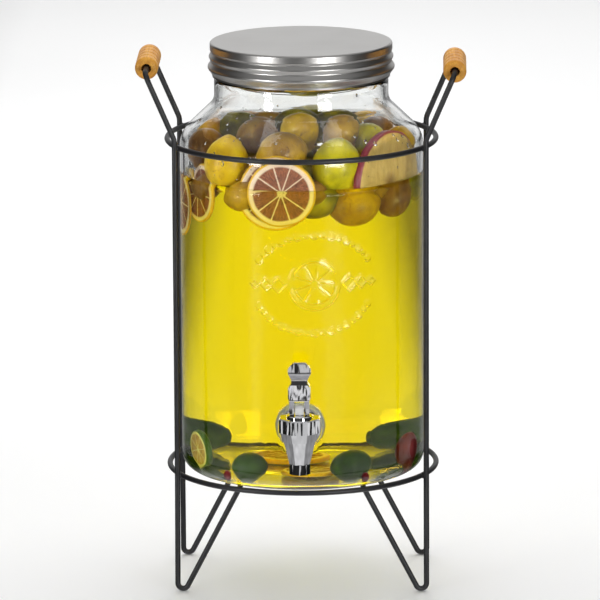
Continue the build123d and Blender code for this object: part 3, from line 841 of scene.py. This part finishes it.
    # name, flesh, centre, radius, thickness, turn, segments
    slices = [
        ("slice_front", dried, (-13.5, -80.0, 323), 26.0, 5.5, (4, 0, -4), 10),
        ("slice_front_behind", dried, (-18.0, -73.5, 322), 28.5, 5.0, (-5, 0, -10), 10),
        ("slice_left", dried, (-73.0, -36.5, 315), 22.5, 4.2, (0, 8, -66), 9),
        ("slice_left_back", dried, (-85.5, -8.0, 302), 26.0, 3.6, (0, -4, -81), 9),
        ("slice_bottom_left", green, (-72.5, -35, 110.5), 15.0, 8.0, (10, 25, -68), 8),
        ("slice_bottom_flat", dried, (6, -48, 96.4), 20.0, 4.5, (88, 0, 10), 10),
        ("slice_bottom_flat_back", dried, (-8, 20, 96.4), 22.0, 4.5, (91, 0, 50), 10),
    ]
    for i, (name, flesh, centre, radius, thickness, turn, segments) in enumerate(slices):
        round_slice(name, flesh, centre, radius, thickness, turn, segments, i)
    round_slice("apple_slice", apple, (65.5, -43.5, 324.4), 39.0, 8.0, (0, 0, 54), 5, 30, 0.04)


def drops(material):
    """Small flat drops on the inside of the glass above the drink."""
    draw = random.Random(11)
    verts, faces = [], []
    sides = 10
    profile = ((0.5, 0.36), (0.85, 0.18), (1.0, 0.0))
    line = wall_line(WALL + 0.02, JAR_BOTTOM + BASE, HEEL_R - WALL / 2, JAR_TOP - 6.0)
    line = [p for p in resample(line, lambda p: 1.0) if p[1] > LIQUID_Z + 6.0]
    for _ in range(DROP_COUNT):
        at = draw.randrange(2, len(line) - 2)
        (r0, z0), (r1, z1) = line[at - 1], line[at + 1]
        r, z = line[at]
        side = math.atan2(z1 - z0, r1 - r0)
        angle = draw.uniform(0, 2 * math.pi)
        size = 0.45 + 1.25 * draw.random() ** 3
        first = len(verts)
        inward = Vector((-math.sin(side), math.cos(side)))
        upward = Vector((math.cos(side), math.sin(side)))
        verts.append(drop_point(r, z, angle, inward, upward, 0.0, 0.0, size * 0.45))
        for reach, height in profile:
            for j in range(sides):
                t = 2 * math.pi * j / sides
                verts.append(drop_point(r, z, angle, inward, upward, size * reach * math.cos(t),
                                        size * reach * 1.25 * math.sin(t), size * height))
        faces += [(first, first + 1 + j, first + 1 + (j + 1) % sides) for j in range(sides)]
        faces += lathe_faces(len(profile), sides, first + 1)
        rim = first + 1 + (len(profile) - 1) * sides
        faces.append(tuple(rim + j for j in range(sides)))
    piece = mesh_object("drops", verts, faces, material, "jar")
    orient_outward(piece)


def drop_point(r, z, angle, inward, upward, sideways, along, height):
    """One point of a drop, from the wall's own directions to the jar's."""
    radius = r + upward.x * along + inward.x * height
    level = z + upward.y * along + inward.y * height
    turn = angle + sideways / r
    return (radius * math.cos(turn), radius * math.sin(turn), level)


# ---------------------------------------------------------------- studio
def aim(thing, place, target):
    thing.location = place
    thing.rotation_euler = (Vector(target) - Vector(place)).to_track_quat("-Z", "Y").to_euler()


def softbox(name, place, target, width, height, power, spread=180.0):
    light = bpy.data.lights.new(name, "AREA")
    light.shape = "RECTANGLE"
    light.size = width
    light.size_y = height
    light.energy = power
    light.spread = math.radians(spread)
    thing = bpy.data.objects.new(name, light)
    bpy.context.scene.collection.objects.link(thing)
    aim(thing, place, target)
    return thing


def studio():
    """A white studio. What the object mirrors, and what lights it, is white behind and dark in front."""
    world = bpy.data.worlds.new("studio")
    bpy.context.scene.world = world
    world.use_nodes = True
    tree = world.node_tree
    tree.nodes.clear()
    new, link = tree.nodes.new, tree.links.new
    output = new("ShaderNodeOutputWorld")
    place = new("ShaderNodeTexCoord")
    split = new("ShaderNodeSeparateXYZ")
    link(place.outputs["Generated"], split.inputs[0])

    def graded(source, stops):
        ramp = new("ShaderNodeValToRGB")
        span = new("ShaderNodeMapRange")
        span.inputs["From Min"].default_value = -1.0
        link(source, span.inputs["Value"])
        link(span.outputs["Result"], ramp.inputs["Fac"])
        elements = ramp.color_ramp.elements
        while len(elements) < len(stops):
            elements.new(0.5)
        for element, (position, level) in zip(elements, stops):
            element.position = (position + 1) / 2
            element.color = (level, level, level, 1.0)
        return ramp.outputs["Color"]

    def blend(kind, a, b):
        node = new("ShaderNodeMix")
        node.data_type = "RGBA"
        node.blend_type = kind
        node.inputs[0].default_value = 1.0
        link(a, node.inputs[6])
        link(b, node.inputs[7])
        return node.outputs[2]

    def background(colour):
        node = new("ShaderNodeBackground")
        link(colour, node.inputs["Color"])
        return node.outputs[0]

    path = new("ShaderNodeLightPath")

    def choose(test, otherwise, chosen):
        choice = new("ShaderNodeMixShader")
        link(path.outputs[test], choice.inputs[0])
        link(otherwise, choice.inputs[1])
        link(chosen, choice.inputs[2])
        return choice.outputs[0]

    depth, height = split.outputs["Y"], split.outputs["Z"]
    lit = blend("LIGHTEN",
                graded(depth, [(-1.0, 0.04), (-0.4, 0.08), (0.3, 0.14),
                               (0.72, 0.36), (0.88, 0.70), (0.97, 0.95)]),
                graded(height, [(-1.0, 0.45), (-0.6, 0.0), (0.45, 0.0), (0.85, 0.55)]))
    behind = blend("MULTIPLY",
                   graded(depth, [(-1.0, 0.06), (-0.5, 0.03), (0.78, 0.02), (0.9, 0.7), (1.0, 1.0)]),
                   graded(height, [(-0.12, 0.35), (0.06, 1.0)]))
    mirrored = blend("LIGHTEN", behind,
                     graded(height, [(-1.0, 0.9), (-0.74, 0.95), (-0.6, 0.5),
                                     (-0.42, 0.0), (0.5, 0.0), (0.85, 0.5)]))
    seen = new("ShaderNodeBackground")
    seen.inputs["Color"].default_value = (1.0, 1.0, 1.0, 1.0)
    around = choose("Is Glossy Ray", background(lit), background(mirrored))
    link(choose("Is Camera Ray", around, seen.outputs[0]), output.inputs["Surface"])


def floor_disc():
    """A round floor, which reaches past the horizon of every view."""
    reach = 7000.0
    sides = 64
    turns = [2 * math.pi * i / sides for i in range(sides)]
    edge = [(reach * math.cos(t), reach * math.sin(t), 0) for t in turns]
    floor = mesh_object("floor", edge, [tuple(range(sides))], white_floor())
    floor.visible_glossy = False


def lamps():
    """A wide lamp overhead, a softbox on each side in front, and a card for the lever to mirror."""
    overhead = softbox("overhead", (0.0, 1.5, 1.6), (0.0, 1.5, 0.0), 1.2, 3.4, 34)
    overhead.visible_glossy = False
    card = softbox("card", (0.0, -2.43, 1.16), (0, -0.12, 0.175), 0.30, 0.22, 0.16)
    card.visible_diffuse = False
    softbox("key", (-1.24, -1.32, 0.47), (0, 0, 0.42), 0.32, 0.80, 1.9, 70)
    softbox("fill", (1.0, -1.60, 0.47), (0, 0, 0.42), 0.62, 0.80, 2.6, 70)


def tap_cards():
    """Small cards that only the plated tap mirrors, low in front of it and at its sides."""
    plated = bpy.data.collections.new("plated_tap")
    for name in PLATED:
        plated.objects.link(NODES[name])
    target = (0, -0.12, 0.14)
    for name, place, width, height, power in (
        ("card_low", (0.015, -0.5, 0.045), 0.07, 0.07, 0.009),
        ("card_left", (-0.35, -0.17, 0.06), 0.07, 0.06, 0.010),
        ("card_right", (0.35, -0.17, 0.06), 0.07, 0.06, 0.010),
    ):
        card = softbox(name, place, target, width, height, power)
        card.visible_diffuse = False
        card.visible_camera = False
        card.light_linking.receiver_collection = plated


def camera():
    """A long lens a little above the object and almost straight in front of it."""
    azimuth = math.radians(1.294)
    elevation = math.radians(12.233)
    roll = math.radians(-0.296)
    distance = 4.8984
    across = -0.00182
    height = 0.22122
    back = Vector((math.sin(azimuth) * math.cos(elevation), -math.cos(azimuth) * math.cos(elevation),
                   math.sin(elevation)))
    target = Vector((across * math.cos(azimuth), across * math.sin(azimuth), height))
    right = Vector((math.cos(azimuth), math.sin(azimuth), 0))
    up = right.cross(-back)
    turned_right = right * math.cos(roll) + up * math.sin(roll)
    turned_up = up * math.cos(roll) - right * math.sin(roll)
    data = bpy.data.cameras.new("camera")
    data.sensor_width = 36.0
    data.lens = 374.06
    data.clip_end = 50.0
    thing = bpy.data.objects.new("camera", data)
    bpy.context.scene.collection.objects.link(thing)
    facing = Matrix((turned_right, turned_up, back)).transposed()
    thing.matrix_world = Matrix.Translation(target + back * distance) @ facing.to_4x4()
    bpy.context.scene.camera = thing


# ---------------------------------------------------------------- build
def paint(names, material, bevel=0.0):
    """Gives CAD nodes a material, and rounds their edges by a bevel in millimetres."""
    for name in names:
        node = NODES[name]
        if not node.material_slots:
            node.data.materials.append(material)
        for slot in node.material_slots:
            slot.material = material
        if bevel:
            edge = node.modifiers.new("edge", "BEVEL")
            edge.width = bevel * MM
            edge.segments = 2
            edge.limit_method = "ANGLE"
            edge.angle_limit = math.radians(30)


camera()
studio()
floor_disc()
lamps()
tap_cards()
paint(["left_side_wire", "right_side_wire", "upper_ring", "lower_ring", "ring_welds"], powder_coat())
paint(["left_grip", "right_grip"], beech())
paint(["screw_lid"], lid_steel())
paint(["lid_liner"], plain_plastic("liner_plastic", (0.85, 0.85, 0.82), 0.5))
paint(PLATED, chrome(), 0.25)
paint(["bonnet_seal", "valve_plug", "outer_washer", "inner_washer"],
      plain_plastic("clear_silicone", (0.85, 0.86, 0.84), 0.35, 0.6))
paint(["valve_stem", "slip_washer", "lock_nut"], plain_plastic("white_plastic", (0.82, 0.82, 0.80), 0.25))
paint(["stem_spring", "lever_pin"], spring_steel())
jar_shell(clear_glass())
drink_body(drink())
fruit()
drops(water())

bpy.context.scene.view_settings.view_transform = "Standard"
